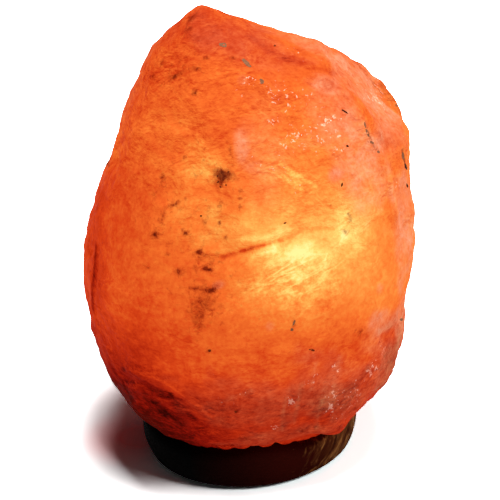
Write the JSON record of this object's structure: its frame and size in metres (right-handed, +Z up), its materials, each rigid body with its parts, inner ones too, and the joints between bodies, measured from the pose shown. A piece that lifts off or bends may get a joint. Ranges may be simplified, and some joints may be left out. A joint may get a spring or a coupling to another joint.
{
  "type": "salt crystal lamp",
  "caption": "Hewn rock salt crystal lit from inside, on a round turned wooden base, with a spring-clipped lamp holder that pulls out from below.",
  "frame": {"origin": "middle of the resting plane under the felt ring, on the axis of the turned base", "axes": "+Z up along the axis of the base and bore; front towards -Y, as the picture shows it; the cord slot is at the back, +Y"},
  "size_m": [0.1604, 0.1564, 0.227],
  "materials": {
    "salt": "translucent, hewn, lit from inside",
    "wood": "dark stained, satin",
    "felt": "matte",
    "zinc_steel": "zinc plated",
    "spring_steel": "satin",
    "nylon": "matte",
    "black_plastic": "satin",
    "brass": "satin",
    "nickel_cap": "satin",
    "clear_glass": "gloss",
    "black_glass": "gloss",
    "solder": "matte",
    "wire": "matte",
    "tungsten": "glowing"
  },
  "bodies": {
    "lamp": {"salt_crystal": "salt", "wood_base": "wood", "felt_ring": "felt", "crystal_screws": "zinc_steel", "anchor_plugs": "nylon"},
    "holder": {"clip_plate": "zinc_steel", "clip_roots": "spring_steel", "clip_rivets": "zinc_steel", "holder_body": "black_plastic", "holder_cap": "black_plastic", "thread_shell": "brass", "centre_contact": "brass", "neutral_contact": "brass", "terminal_blocks": "brass", "terminal_screws": "zinc_steel"},
    "clip_1": {"spring_clip_1": "spring_steel"},
    "clip_2": {"spring_clip_2": "spring_steel"},
    "clip_3": {"spring_clip_3": "spring_steel"},
    "bulb": {"bulb_glass": "clear_glass", "bulb_cap": "nickel_cap", "bulb_insulator": "black_glass", "bulb_tip_contact": "solder", "bulb_stem": "clear_glass", "lead_wires": "wire", "filament": "tungsten"}
  },
  "joints": [
    {"name": "holder_withdraw", "type": "slide", "parent": "lamp", "child": "holder", "axis": [0, 0, -1], "range_m": [0, 0.125]},
    {"name": "clip_1_squeeze", "type": "hinge", "parent": "holder", "child": "clip_1", "pos_m": [0, -0.01975, 0.01355], "axis": [-1, 0, 0], "range_deg": [0, 6], "stiffness_Nm_per_rad": 0.5},
    {"name": "clip_2_squeeze", "type": "hinge", "parent": "holder", "child": "clip_2", "pos_m": [0.0171, 0.00988, 0.01355], "axis": [0.5, -0.866, 0], "range_deg": [0, 6], "stiffness_Nm_per_rad": 0.5},
    {"name": "clip_3_squeeze", "type": "hinge", "parent": "holder", "child": "clip_3", "pos_m": [-0.0171, 0.00988, 0.01355], "axis": [0.5, 0.866, 0], "range_deg": [0, 6], "stiffness_Nm_per_rad": 0.5},
    {"name": "bulb_unscrew", "type": "hinge", "parent": "holder", "child": "bulb", "pos_m": [0, 0, 0.06], "axis": [0, 0, 1], "range_deg": [0, 1080]}
  ]
}
